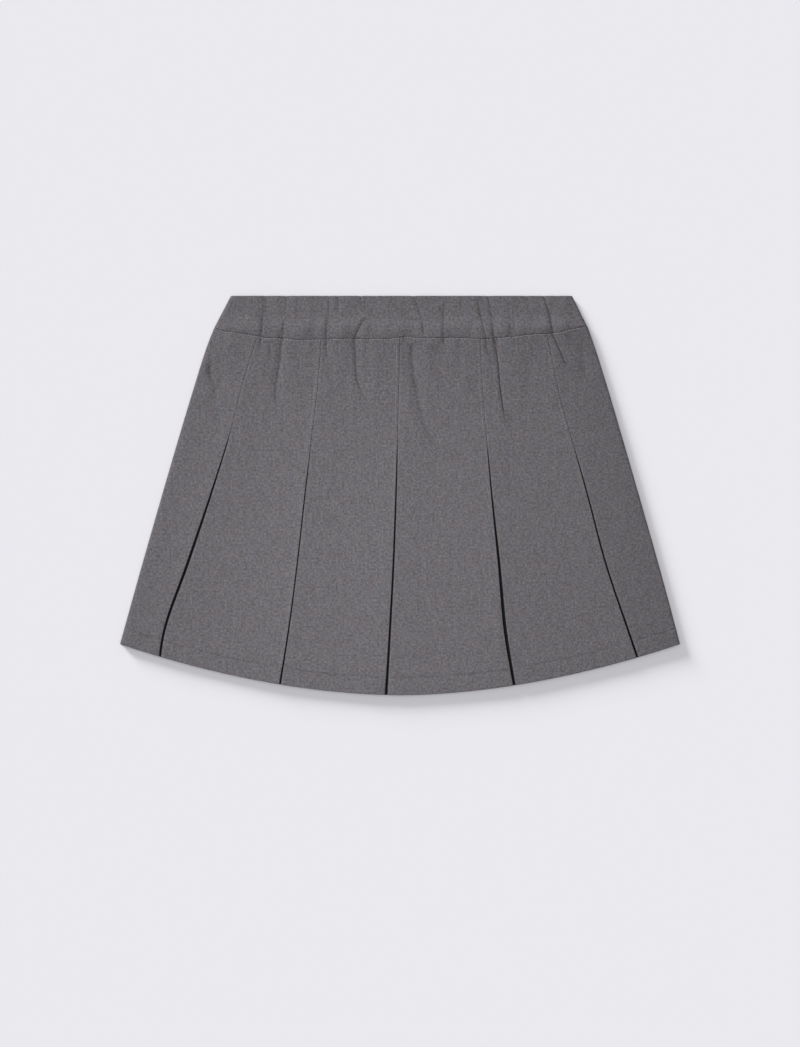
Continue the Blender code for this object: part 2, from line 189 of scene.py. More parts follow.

# Creases that the elastic presses into the cloth. Each runs down its path of (x, depth) points, comes in over
# the first length and dies away over the second. Painted shade darkens its bottom this much, at its start and
# end.
Crease = namedtuple("Crease", "path sink half_width comes_in dies_away ink_start ink_end")
CREASES = (
    Crease(
        ((-188.0, 50), (-184.0, 66), (-179.5, 80), (-175.5, 92), (-173.0, 112), (-172.0, 128)),
        1.8, 5.0, 14, 34, 0.14, 0.08,
    ),
    Crease(((-129.9, 8), (-130.9, 28.6), (-132.4, 41), (-133.4, 62)), 1.1, 2.5, 18, 20, 0.3, 0.2),
    Crease(((-122.5, 42), (-123.0, 60), (-125.5, 88)), 0.7, 2.6, 5, 26, 0.12, 0.05),
    Crease(((-127.8, 58), (-128.6, 70), (-130.0, 100)), 0.5, 2.6, 8, 24, 0.08, 0.05),
    Crease(
        ((-110.2, 20), (-111.4, 34.3), (-112.6, 46.7), (-114.0, 60), (-116.4, 75),
         (-118.6, 90), (-117.8, 106), (-116.4, 124)),
        1.6, 3.6, 10, 44, 0.24, 0.2,
    ),
    Crease(((-108.6, -4), (-108.4, 8), (-109.4, 22)), 0.6, 2.2, 4, 10, 0.12, 0.1),
    Crease(((-128.0, -4), (-127.0, 8), (-128.0, 20)), 0.4, 2.2, 4, 10, 0.06, 0),
    Crease(((-97.1, -4), (-97.4, 8), (-98.0, 24)), 0.4, 2.6, 4, 14, 0.0, 0),
    Crease(((-68.7, 14), (-70.2, 34), (-70.4, 42), (-69.6, 66)), 1.1, 2.1, 14, 20, 0.3, 0.3),
    Crease(((-68.0, -4), (-67.4, 8), (-68.2, 22)), 0.5, 1.9, 5, 10, 0.15, 0.1),
    Crease(((-59.4, 42), (-59.4, 52), (-60.4, 68)), 0.5, 2.2, 3, 18, 0.14, 0),
    Crease(((-65.0, 84), (-65.8, 98), (-66.8, 120)), 0.4, 2.8, 12, 18, 0.08, 0.04),
    Crease(((-59.0, -4), (-58.6, 8), (-59.0, 20)), 0.6, 1.8, 4, 8, 0.22, 0.15),
    Crease(((-38.3, -4), (-37.0, 6), (-36.6, 15)), 0.8, 1.8, 4, 7, 0.35, 0.3),
    Crease(((-33.4, 1), (-33.3, 8), (-33.0, 16)), 0.5, 1.5, 4, 6, 0.25, 0.15),
    Crease(
        ((-33.8, 21), (-36.4, 26.4), (-40.8, 34.3), (-43.6, 41.6), (-43.0, 51), (-42.2, 64),
         (-40.8, 80), (-36.0, 92), (-28.0, 104), (-21.0, 114)),
        1.05, 2.4, 3, 34, 0.46, 0.14,
    ),
    Crease(((-25.5, -4), (-24.9, 5)), 0.5, 1.6, 3, 6, 0.3, 0.1),
    Crease(((-15.8, -4), (-15.2, 5)), 0.5, 1.6, 3, 6, 0.3, 0.1),
    Crease(((9.6, -4), (15.0, 5.3), (18.0, 15.6), (21.4, 25), (22.6, 40)), 1.0, 2.0, 3, 8, 0.3, 0.2),
    Crease(
        ((10.2, 42), (10.8, 50), (12.0, 67), (15.2, 87), (19.0, 106),
         (23.2, 123), (29.5, 140), (35.0, 176)),
        1.75, 5.6, 10, 78, 0.2, 0.08,
    ),
    Crease(((1.5, 42), (1.6, 56), (2.6, 74)), 0.5, 3.4, 5, 22, 0.06, 0),
    Crease(((30.0, 44), (31.0, 66), (34.0, 92)), 0.6, 4.8, 8, 36, 0.05, 0),
    Crease(((42.4, 2), (41.4, 15.2), (41.2, 32), (41.4, 66)), 0.8, 1.9, 12, 30, 0.28, 0.15),
    Crease(((56.0, 42), (57.5, 66), (60.5, 92)), 0.5, 4.8, 8, 36, 0.04, 0),
    Crease(
        ((73.2, -2), (75.4, 12), (79.0, 28), (81.0, 38), (82.2, 49), (84.8, 62)),
        0.85, 1.9, 5, 14, 0.18, 0.45,
    ),
    Crease(((77.5, -4), (78.4, 7)), 0.5, 1.5, 3, 5, 0.3, 0.1),
    Crease(((82.6, -5), (86.2, 12.9), (88.2, 28.4), (89.2, 45)), 0.8, 1.9, 3, 7, 0.15, 0.3),
    Crease(
        ((88.9, 38), (91.4, 49.5), (93.4, 63.8), (95.2, 85),
         (97.6, 104), (99.6, 118), (101.0, 128)),
        1.4, 1.6, 3, 36, 0.55, 0.97,
    ),
    Crease(((101.0, 104), (105.0, 120), (110.0, 144)), 0.7, 5.0, 16, 26, 0.07, 0),
    Crease(((103.6, 4), (104.0, 18), (105.0, 43)), 0.5, 2.8, 10, 10, 0.08, 0.15),
    Crease(((118.8, -4), (121.6, 3), (125.0, 10)), 0.6, 1.9, 3, 7, 0.2, 0.1),
    Crease(
        ((134.8, -5), (141.1, 12.9), (143.2, 22.6), (144.7, 31.3), (145.6, 37.5),
         (148.9, 45), (153.3, 55.2), (159.6, 71)),
        1.0, 1.6, 3, 18, 0.2, 0.95,
    ),
    Crease(((144.4, 4), (144.6, 12), (145.2, 21)), 0.4, 1.7, 4, 6, 0.1, 0.05),
    Crease(((147.8, -4), (150.9, 7)), 0.5, 1.8, 3, 6, 0.2, 0.1),
    Crease(((133.0, 40), (136.0, 54), (139.0, 78)), 0.7, 6.0, 6, 28, 0.07, 0),
    Crease(((170.0, 46), (176.0, 66), (184.0, 96)), 0.5, 5.0, 10, 34, 0.05, 0),
    Crease(((-14.0, 168), (-9.5, 176), (-6.0, 184)), 0.4, 2.0, 5, 6, 0.06, 0.04),
)
CREASE_SHARP = 0.6  # share of a crease's depth in its narrow middle, and the rest is in its soft flanks
CREASE_BLUNT = 0.1  # rounds its bottom, in half widths like the next four
FLANK_WIDTH = 2.0
PAINTED_SHADE_WIDTH = 0.35
LIP_OFF = -1.7  # the cloth swells on one side of a crease
LIP_WIDTH = 0.8
LIP = 0.3  # by this share of its depth
PAINTED_SHADE_GAIN = 1.6  # the painted shade fills in this much faster than the crease deepens
CREASE_KEEPS_OFF = 2.0  # creases fade out this close to a fold
CREASE_REACH = 95.0  # away from the seam, or near a side seam, a crease keeps a share of its depth
CREASE_LEFT = 0.55
BACK_CREASES = 0.3  # the back lies on the floor, so its creases are this much shallower
BAND_BACK_CREASES = 0.48
# share of the creases' painted shade that the back keeps
BACK_PAINTED_SHADE = 0.6

# Soft waves between the creases
Ripple = namedtuple("Ripple", "wavelength drift bend phase height")
RIPPLES = (
    Ripple(17.3, 0.10, 0.9, 0.3, 0.15),
    Ripple(26.9, -0.07, 1.3, 2.1, 0.20),
    Ripple(41.7, 0.05, 0.8, 4.4, 0.28),
    Ripple(10.7, 0.03, 1.1, 1.2, 0.08),
)
RIPPLE_BEND_LENGTH = 57.0
RIPPLE_REACH = 150.0  # the waves sink to a share of their height over this length
RIPPLE_LEFT = 0.14

# How the gathers lift the panels, and how the cloth turns in at the waist seam
PANEL_PUFF = 1.7
PUFF_SIDE_FADE = 21.0
PUFF_REACH = 64.0
EDGE_ROLL = 0.95  # length over which it turns in
EDGE_DROP = 0.6
BACK_EDGE_SHARE = 0.5

# The waistband
BAND_LIFT = 0.3
BAND_RIPPLES = 0.6  # share of the panels' waves
BAND_RIDGE = 1.9  # the seam's turned edges lift the band's lower part
RIDGE_START = 18.0
RIDGE_FULL = 32.0
RIDGE_DIP = 0.4  # and it falls by this share to the seam
DIP_POWER = 8
RIDGE_PULLS = (Wobble(47.0, 2.2, 0.2), Wobble(19.0, 0.7, 0.15))
BAND_END_FADE = 14.0
BAND_INSIDE = 0.4  # share of the creases on the inner faces
TOP_ROUND = 0.6
TOP_EDGE_LEFT = 0.3  # share of the wall that is left at the round top edge
TOP_SHADE = 0.3  # painted shade along the top edge
TOP_SHADE_REACH = 0.8
TOP_NICK = 0.3  # creases notch the top edge this deep
NICK_REACH = 3.0

# The line of stitches above the hem: how deep and wide it sinks in, and the painted shade in its ditch
DITCH_DEPTH = 0.22
DITCH_WIDTH = 0.7
HEM_PAINTED_SHADE = 0.2
HEM_PAINTED_SHADE_WIDTH = 0.6
HEM_PAINTED_SHADE_LOW = 0.2  # the painted shade lies this far below the stitches
HEM_PAINTED_SHADE_DRIFTS = (Wobble(83.0, 1.2, 0.5), Wobble(31.0, 0.3, 0.35))

# Painted shadow in a pleat's slot, which deepens the slot's real shade
SLOT_REACH = 4.0  # the painted shadow reaches this far under the fold
FOLD_LIT_ANGLE = 45.0  # round the fold's edge the painted shadow grows from this angle down to the level
RISE_LIT = 0.92  # the rise keeps its colour from this share of its width up, and is painted dark below it
RISE_FADE = 0.28
UNDER_EASE = (0.5, 0.9)  # how far the fold's inner face sinks to the underfold by half and all of the reach

# Where the rows and columns of points lie
SEAM_ROWS = (0.0, 0.15, 0.4, 0.8, 1.3)  # distances from the waist seam
GATHERED_ROWS = (2.2, 104.0)  # the closer rows lie between these
STITCH_ROWS = (2.0, 0.9, 0.35, 0.0, -0.35, -0.9, -2.0)  # distances above the line of stitches
STITCH_ROW_ROOM = 3.0
HEM_ROWS = (10.0, 5.0, 1.8, HEM_ROUND, 0.3, 0.12, 0.03, 0.0)  # distances above the hem
BAND_TOP_ROWS = (0.0, 0.04, 0.15, 0.35, TOP_ROUND, BAND_WALL / 2)  # distances from the top edge
BAND_MIDDLE_ROWS = np.arange(2.3, 38.5, 1.3)
BAND_SEAM_ROWS = (EDGE_ROLL, 0.5, 0.25, 0.08, 0.0)  # distances above the seam
FOLD_STEPS = 8
TURN_STEPS = 6
RISE_STEPS = 9
ROLL_STEPS = 12
UNDERFOLD_SHARE = 0.6  # the underfold has one more point at this share of its width
EDGE_COLUMNS = (3.2, 2.4, 1.7, 1.1, 0.5)  # distances from a fold
COLUMN_PULL = 4.0  # columns crowd together this much at a crease
HEM_COLUMNS = 0.8  # share of the columns that the hem's width would ask for
SPAN_SAMPLES = 300
BAND_SAMPLES = 1200
BAND_FRONT_COLUMNS = 330
BAND_BACK_COLUMNS = 150
BAND_TURN_STEPS = 9
CROSSING_PASSES = 5
SHARP_ANGLE = 60.0
MITRE_LEAST = 0.35  # keeps sharp corners of a moved line from shooting out


def mix(start, end, share):
    return start + (end - start) * share


def smooth(share):
    share = np.clip(share, 0.0, 1.0)
    return share * share * (3 - 2 * share)


def curve_at(places, values, place):
    """Reads a smooth curve through the values at these places. Past its ends it goes on straight."""
    places, values, place = (np.asarray(given, float) for given in (places, values, place))
    index = np.arange(len(places))
    before, after = np.maximum(index - 1, 0), np.minimum(index + 1, len(places) - 1)
    slopes = (values[after] - values[before]) / (places[after] - places[before])
    step = np.searchsorted(places[1:-1], place)
    width = places[step + 1] - places[step]
    share = np.clip((place - places[step]) / width, 0, 1)
    rise = values[step + 1] - values[step]
    start_bend = width * slopes[step] - rise
    end_bend = rise - width * slopes[step + 1]
    bend = share * (1 - share) * (start_bend * (1 - share) + end_bend * share)
    past = place - np.clip(place, places[0], places[-1])
    return values[step] + rise * share + bend + past * np.where(past < 0, slopes[0], slopes[-1])


def half_width(side, depth):
    widths = [row.left if side < 0 else row.right for row in OUTLINE]
    return curve_at([row.depth for row in OUTLINE], widths, depth)


def bell(off):
    return np.exp(-(off**2))


def rounding(distance, radius):
    """1 at a round edge and 0 beyond its radius."""
    return 1 - np.sqrt(1 - np.clip(1 - distance / radius, 0, 1) ** 2)


def waves(x, wobbles):
    return sum(each.size * np.sin(2 * math.pi * x / each.wavelength + each.phase) for each in wobbles)


def seam_depth(x):
    x = np.asarray(x, float)
    return curve_at([point.x for point in SEAM], [point.depth for point in SEAM], x) + waves(x, SEAM_WOBBLES)


def hem_depth(x):
    """The hem's lowest point is in the middle, and it rises to the side seams."""
    rise = LENGTH - HEM_END.depth
    return LENGTH - rise * (np.abs(x) / HEM_END.right) ** HEM_BEND


def edge_of_row(side, share):
    """Half width of the panels at the end of a row, with share 0 at the seam and 1 at the hem."""
    return half_width(side, mix(SEAM_END[side].depth + SEAM_GAP, HEM_END.depth, share))


def panel_depth(x, share):
    """Depth of the point at x on a panel's row, which blends the seam's wave into the hem's curve."""
    left, right = edge_of_row(-1, share), edge_of_row(1, share)
    across = np.where(x < 0, x / left, x / right)
    at_seam = np.where(x < 0, across * edge_of_row(-1, 0.0), across * edge_of_row(1, 0.0))
    at_hem = np.where(x < 0, across * edge_of_row(-1, 1.0), across * edge_of_row(1, 1.0))
    return mix(seam_depth(at_seam) + SEAM_GAP, hem_depth(at_hem), share)


def band_depth(x, share):
    """The same for the waistband, whose rows blend its straight top edge into the seam's wave."""
    at_top = np.where(x < 0, half_width(-1, 0.0), half_width(1, 0.0))
    at_seam = np.where(x < 0, -SEAM_END[-1].x, SEAM_END[1].x)
    return share * seam_depth(x / mix(at_top, at_seam, share) * at_seam)


def crease_line(crease, depth):
    """Where a crease runs at this depth, and how strong it is there."""
    xs, depths = zip(*crease.path)
    comes_in = smooth((depth - depths[0]) / crease.comes_in)
    dies_away = smooth((depths[-1] - depth) / crease.dies_away)
    return curve_at(depths, xs, depth), comes_in * dies_away


def crease_depth(x, depth):
    """How deep the creases sink the cloth, and how much painted shade darkens their bottoms."""
    sink, lip, painted_shade = (np.zeros(np.shape(x)) for _ in range(3))
    for crease in CREASES:
        middle, strength = crease_line(crease, depth)
        aside = (x - middle) / crease.half_width
        deep = crease.sink * strength
        core = np.maximum(0, 1 - np.hypot(aside, CREASE_BLUNT)) ** 2
        sink = np.maximum(sink, deep * mix(bell(aside / FLANK_WIDTH), core, CREASE_SHARP))
        lip = np.maximum(lip, LIP * deep * bell((aside - LIP_OFF) / LIP_WIDTH))
        start, end = crease.path[0][1], crease.path[-1][1]
        black = mix(crease.ink_start, crease.ink_end, np.clip((depth - start) / (end - start), 0, 1))
        painted_shade = np.maximum(painted_shade, black * smooth(strength * PAINTED_SHADE_GAIN) * bell(aside / PAINTED_SHADE_WIDTH))
    return sink - lip, painted_shade


def ripples(x, depth):
    """Low waves that run down the cloth from the waist."""
    height = np.zeros(np.shape(x))
    for ripple in RIPPLES:
        wander = ripple.bend * np.sin(depth / RIPPLE_BEND_LENGTH + ripple.phase)
        turn = 2 * math.pi * (x + ripple.drift * depth) / ripple.wavelength
        height = height + ripple.height * np.sin(turn + ripple.phase + wander)
    return height * mix(1.0, RIPPLE_LEFT, smooth(depth / RIPPLE_REACH))


def widened(line, closed):
    """Rows with one more point at each end: the neighbour round the loop, or the row gone on straight."""
    first, last = line[:, :1], line[:, -1:]
    if closed:
        return np.concatenate([last, line, first], 1)
    return np.concatenate([2 * first - line[:, 1:2], line, 2 * last - line[:, -2:-1]], 1)


def offset(x, z, distance, closed):
    """Rows of points moved to their left by this distance, with mitred corners."""
    x_wide, z_wide = widened(x, closed), widened(z, closed)
    run, climb = np.diff(x_wide, axis=1), np.diff(z_wide, axis=1)
    length = np.hypot(run, climb)
    normal_x, normal_z = -climb / length, run / length
    mean_x = (normal_x[:, 1:] + normal_x[:, :-1]) / 2
    mean_z = (normal_z[:, 1:] + normal_z[:, :-1]) / 2
    scale = distance / np.maximum(mean_x**2 + mean_z**2, MITRE_LEAST)
    return x + mean_x * scale, z + mean_z * scale


def mesh_object(name, points, faces, material):
    mesh = bpy.data.meshes.new(name)
    mesh.from_pydata(points.tolist(), [], faces.tolist())
    mesh.shade_smooth()
    mesh.set_sharp_from_angle(angle=math.radians(SHARP_ANGLE))
    mesh.materials.append(material)
    return linked(name, mesh)


def linked(name, data):
    obj = bpy.data.objects.new(name, data)
    bpy.context.scene.collection.objects.link(obj)
    return obj


def shell_object(name, outer, inner, shades, closed, material):
    """A closed shell between two grids of points (rows, columns, 3), whose shades, each point's painted
    shade, are grids of numbers.
    """
    rows, columns = outer.shape[:2]
    points = np.concatenate([outer.reshape(-1, 3), inner.reshape(-1, 3)]) * MM
    deep = rows * columns  # from a point of the outer grid to its partner
    index = np.arange(deep).reshape(rows, columns)
    if closed:
        index = np.concatenate([index, index[:, :1]], 1)
    skin = np.stack([index[:-1, :-1], index[1:, :-1], index[1:, 1:], index[:-1, 1:]], -1).reshape(-1, 4)
    rims = [index[0], index[-1, ::-1]]
    if not closed:
        rims += [index[::-1, 0], index[:, -1]]
    walls = [np.stack([rim[:-1], rim[1:], rim[1:] + deep, rim[:-1] + deep], -1) for rim in rims]
    obj = mesh_object(name, points, np.concatenate([skin, skin[:, ::-1] + deep, *walls]), material)
    # each point's painted shade, which the cloth's material reads
    attribute = obj.data.attributes.new("shade", "FLOAT", "POINT")
    attribute.data.foreach_set("value", np.concatenate([shades.ravel()] * 2).astype(np.float32))
    return obj


def world(x, depth, z):
    return np.stack([x, LENGTH / 2 - depth, z], -1)


# --- Panels ---

Fold = namedtuple("Fold", "x opening wall rise press curl")
# A point of a panel's middle line. Level is its height above the outer layer, and flat is 1 on the spans.
Point = namedtuple("Point", "x level shade flat pressed")
ROLL_TURNS = tuple(
    1 - math.cos(math.pi / 2 * step / ROLL_STEPS) ** (2 / ROLL_POWER) for step in range(ROLL_STEPS)
)


def in_hem_turn(to_hem):
    """1 in the hem turn and 0 above it."""
    return smooth((HEM_TURN - to_hem) / HEM_STEP + 0.5)


def wall_at(share):
    """Thickness of a panel's cloth at a row: two layers in the hem turn, which ends in a round edge."""
    to_hem = (1 - share) * PANEL_LENGTH
    return mix(CLOTH, HEM_WALL, in_hem_turn(to_hem)) * max(HEM_EDGE_LEFT, 1 - rounding(to_hem, HEM_ROUND))


def above_edge(share):
    """The row that gives this one its folds: in the hem's round edge they stay as they are just above it."""
    return min(share, 1 - HEM_ROUND / PANEL_LENGTH)


def make_fold(x, opening, curl, share):
    """A pleat's fold at a row. Press is 1 where the pleat is stitched shut and 0 where it hangs open."""
    press = 1 - smooth((opening - CLOSED) / OPENS_OVER)
    wall = mix(wall_at(above_edge(share)), PRESSED_WALL, press)
    return Fold(x, mix(opening, PRESSED_GAP, press), wall, mix(RISE_WIDTH, PRESSED_RISE, press), press, curl)


def fold_at(pleat, share):
    """Where a row crosses a pleat's fold line, and the fold's form there."""
    x = pleat.fold[0]
    for _ in range(CROSSING_PASSES):
        depth = panel_depth(x, share)
        x = curve_at(PLEAT_DEPTHS, pleat.fold, depth)
    opening = max(CLOSED, curve_at(PLEAT_DEPTHS, pleat.opening, depth))
    return make_fold(x, opening, curve_at(PLEAT_DEPTHS, pleat.curl, depth), share)


def panel_rows(seam_step, middle_step):
    """Rows as shares of the way from the seam to the hem: close at the seam, the stitch line and the hem."""
    gathered = list(np.arange(*GATHERED_ROWS, seam_step))
    middle_end = PANEL_LENGTH - HEM_TURN - STITCH_ROW_ROOM
    middle = list(np.arange(gathered[-1] + middle_step, middle_end, middle_step))
    below = [PANEL_LENGTH - HEM_TURN - up for up in STITCH_ROWS] + [PANEL_LENGTH - up for up in HEM_ROWS]
    return np.array([*SEAM_ROWS, *gathered, *middle, *below]) / PANEL_LENGTH


def hang_level(hang, across):
    across = min(across, 1.0)
    return mix(hang.start, hang.end, across) - hang.sag * 4 * across * (1 - across)


def pleat_section(fold, underfold, wall, level_before, level_after):
    """The middle line of a knife pleat whose fold points to +X, from one span's level to the next one's.

    Returns the points under the span, with their levels counted from it, and those of the rise.
    """
    pitch = wall + LAYER_AIR
    stack = 2 * pitch
    radius = fold.wall / 2 + FOLD_CLEARANCE
    start = fold.x - radius - fold.wall / 2
    # painted shadow in the slot: full where the pleat stands open, none where it is stitched shut
    dark = 1 - fold.press
    points = []
    for step in range(FOLD_STEPS + 1):
        angle = 90 - 180 * step / FOLD_STEPS
        turn = math.radians(angle)
        shade = dark * smooth(1 - angle / FOLD_LIT_ANGLE)
        level = fold.curl + radius * (math.sin(turn) - 1)
        points.append(Point(start + radius * math.cos(turn), level, shade, 0.0, fold.press))
    below = fold.curl - 2 * radius
    middle = fold.x - underfold * UNDERFOLD_SHARE
    for x, level, shade in (
        (start - SLOT_REACH / 2, mix(below, -pitch, UNDER_EASE[0]), dark),
        (start - SLOT_REACH, mix(below, -pitch, UNDER_EASE[1]), 0.0),
        (middle, -pitch, 0.0),
    ):
        points.append(Point(x, level, shade, 0.0, 0.0))
    for step in range(TURN_STEPS + 1):
        turn = math.radians(90 + 180 * step / TURN_STEPS)
        x = fold.x - underfold + pitch / 2 * math.cos(turn)
        points.append(Point(x, -pitch + pitch / 2 * (math.sin(turn) - 1), 0.0, 0.0, 0.0))
    for x, shade in ((middle, 0.0), (start - SLOT_REACH, 0.0), (start - SLOT_REACH / 2, dark)):
        points.append(Point(x, -stack, shade, 0.0, 0.0))
    foot = fold.x + fold.opening + (fold.wall - fold.rise) / 2
    rise = []
    for step in range(RISE_STEPS + 1):
        share = step / RISE_STEPS
        shade = dark * smooth((RISE_LIT - share) / RISE_FADE)
        level = mix(level_before - stack, level_after, smooth(share))
        rise.append(Point(foot + fold.rise * share, level, shade, 0.0, fold.press))
    return points, rise


@lru_cache(maxsize=None)
def front_limits(share):
    """Where the front's flat spans start and end at a row, and the folds between them."""
    left, right = -edge_of_row(-1, share), edge_of_row(1, share)
    folds = [fold_at(pleat, share) for pleat in FRONT_PLEATS]
    return folds, [left + SIDE_ROLL] + after_folds(folds), before_folds(folds) + [right - SIDE_ROLL]


@lru_cache(maxsize=None)
def back_limits(share):
    """The same for the back, mirrored so that its folds point to +X too. They lie between the front's."""
    left, right = edge_of_row(-1, share), edge_of_row(1, share)
    front = [fold_at(pleat, share) for pleat in FRONT_PLEATS]
    spans = [fold.x + fold.opening + RISE_ROOM for fold in front]
    limits = [fold.x - FRONT_UNDERFOLD - FOLD_REACH for fold in front[1:]] + [right - SIDE_ROLL]
    shift = (BACK_OPENING + RISE_ROOM - BACK_UNDERFOLD - FOLD_REACH) / 2
    folds = []
    for x in sorted(-(start + end) / 2 - shift for start, end in zip(spans, limits)):
        below = (panel_depth(-x, share) - BACK_STITCHED_TO) / BACK_OPENS_OVER
        folds.append(make_fold(x, mix(CLOSED, BACK_OPENING, smooth(below)), 0.0, share))
    return folds, [-right] + after_folds(folds), before_folds(folds) + [left]


def after_folds(folds):
    return [fold.x + fold.opening + (fold.wall + fold.rise) / 2 for fold in folds]


def before_folds(folds):
    return [fold.x - FOLD_CLEARANCE - fold.wall for fold in folds]


def columns_worth(places, x, depth):
    """How many columns' worth of cloth lies before each of these places. Columns crowd at the creases."""
    density = np.ones(len(places))
    for crease in CREASES:
        middle, strength = crease_line(crease, depth)
        density += COLUMN_PULL * strength * bell((x - middle) / crease.half_width)
    worth = np.cumsum((density[1:] + density[:-1]) / 2) * (places[1] - places[0])
    return np.concatenate([[0.0], worth])


def travelled(start, end, share, facing):
    """Fine steps across a panel's span, and how many columns' worth of cloth lies before each."""
    places = np.linspace(start, end, SPAN_SAMPLES)
    return places, columns_worth(places, facing * places, panel_depth(facing * places, share))


def hangs_at(share, hangs):
    """How the spans hang at a row: less near the seam, and with less sag in the stiff hem turn."""
    size = smooth((share - HANG_START) / (HANG_FULL - HANG_START))
    in_hem = smooth(2 - (1 - share) * PANEL_LENGTH / HEM_TURN)
    sag_size = size * mix(1.0, HEM_HANG, in_hem)
    end_sizes = [size] * (len(hangs) - 1) + [mix(SIDE_HANG, 1.0, size)]
    return [
        Hang(sag_size * hang.sag, size * hang.start, end_size * hang.end)
        for hang, end_size in zip(hangs, end_sizes)
    ]


def roll_level(turn, wall, flat_level):
    """The fall from the flat span, where turn is 1, to the side seam, where it is 0 and lies on the back."""
    drop = FRONT_LEVEL + flat_level - (wall + SEAM_GAP + wall / 2)
    return flat_level + drop * ((1 - (1 - turn) ** ROLL_POWER) ** (1 / ROLL_POWER) - 1)


def panel_line(panel, share, counts):
    """One row of a panel's middle line, as points."""
    wall = wall_at(share)
    folds, starts, ends = panel.limits(share)
    spans = hangs_at(share, panel.hangs)
    inset = SIDE_ROLL - wall / 2
    first, last = spans[0].start, spans[-1].end
    # painted shade of the last span at the side seam, carried over the roll
    side_shade = panel.last_shade[1]
    line = []
    for turn in panel.roll:
        line.append(Point(starts[0] - inset * (1 - turn), roll_level(turn, wall, first), 0.0, 0.0, 0.0))
    line.append(Point(starts[0], first, 0.0, 0.0, 0.0))
    for number, (start, end, hang) in enumerate(zip(starts, ends, spans)):
        fold = folds[number] if number < len(folds) else None
        beside_fold = [end - reach for reach in EDGE_COLUMNS] if fold else []
        places, worth = travelled(start, min([end, *beside_fold]), share, panel.facing)
        inner = np.linspace(0, worth[-1], counts[number] + 2)[1:-1]
        for x in [*np.interp(inner, worth, places), *beside_fold]:
            across = (x - start) / (end - start)
            curl = fold.curl * smooth(1 - (end - x) / CURL_REACH) if fold else 0.0
            # painted shade on the last span
            shade = 0.0 if fold else mix(*panel.last_shade, across)
            line.append(Point(x, hang_level(hang, across) + curl, shade, 1.0, 0.0))
        if fold:
            under, rise = pleat_section(fold, panel.underfold, wall, hang.end, spans[number + 1].start)
            for point in under:
                hanging = hang_level(hang, (point.x - start) / (end - start))
                line.append(point._replace(level=point.level + hanging))
            line += rise
    line.append(Point(ends[-1], last, side_shade, 0.0, 0.0))
    for turn in reversed(panel.roll):
        line.append(Point(ends[-1] + inset * (1 - turn), roll_level(turn, wall, last), side_shade, 0.0, 0.0))
    return line


def column_counts(panel):
    """How many columns each flat span takes, from its widths at the seam and at the hem."""
    counts = []
    for at_seam, at_hem in zip(*(zip(*panel.limits(share)[1:]) for share in (0.0, 1.0))):
        gathered = travelled(*at_seam, 0.0, panel.facing)[1][-1]
        plain = travelled(*at_hem, 1.0, panel.facing)[1][-1]
        counts.append(round(max(gathered, HEM_COLUMNS * plain) / panel.column_step))
    return counts


def panel_puff(x, share, depth):
    """The gathers lift the cloth at the seam, and this dies away down the panel and towards the side seams.

    Also returns the shares of their full height that the creases and the ripples keep.
    """
    from_seam = depth - seam_depth(x)
    to_side = np.minimum(x + edge_of_row(-1, share), edge_of_row(1, share) - x)
    inside = smooth(to_side / PUFF_SIDE_FADE)
    puff = np.clip(1 - from_seam / PUFF_REACH, 0, 1) ** 2 * inside
    return PANEL_PUFF * puff, mix(CREASE_LEFT, 1.0, (1 - smooth(from_seam / CREASE_REACH)) * inside), inside


def hem_level(to_hem, proud):
    """The stitched line above the hem sinks in a little, and the turn below it lies a little proud."""
    ditch = DITCH_DEPTH * bell((to_hem - HEM_TURN) / DITCH_WIDTH)
    return (proud - (HEM_WALL - CLOTH) / 2) * in_hem_turn(to_hem) - ditch


def hem_painted_shade(x, to_hem):
    """Painted shade in the ditch of the stitched line above the hem, here more and there less."""
    uneven = np.clip(1 + waves(x, HEM_PAINTED_SHADE_DRIFTS), 0, None)
    return HEM_PAINTED_SHADE * uneven * bell((to_hem - HEM_TURN + HEM_PAINTED_SHADE_LOW) / HEM_PAINTED_SHADE_WIDTH)


def seam_roll(x, from_seam):
    """The cloth turns in at the waist seam, here more and there less."""
    return -EDGE_DROP * (1 + waves(x, SEAM_PULLS)) * rounding(from_seam, EDGE_ROLL)


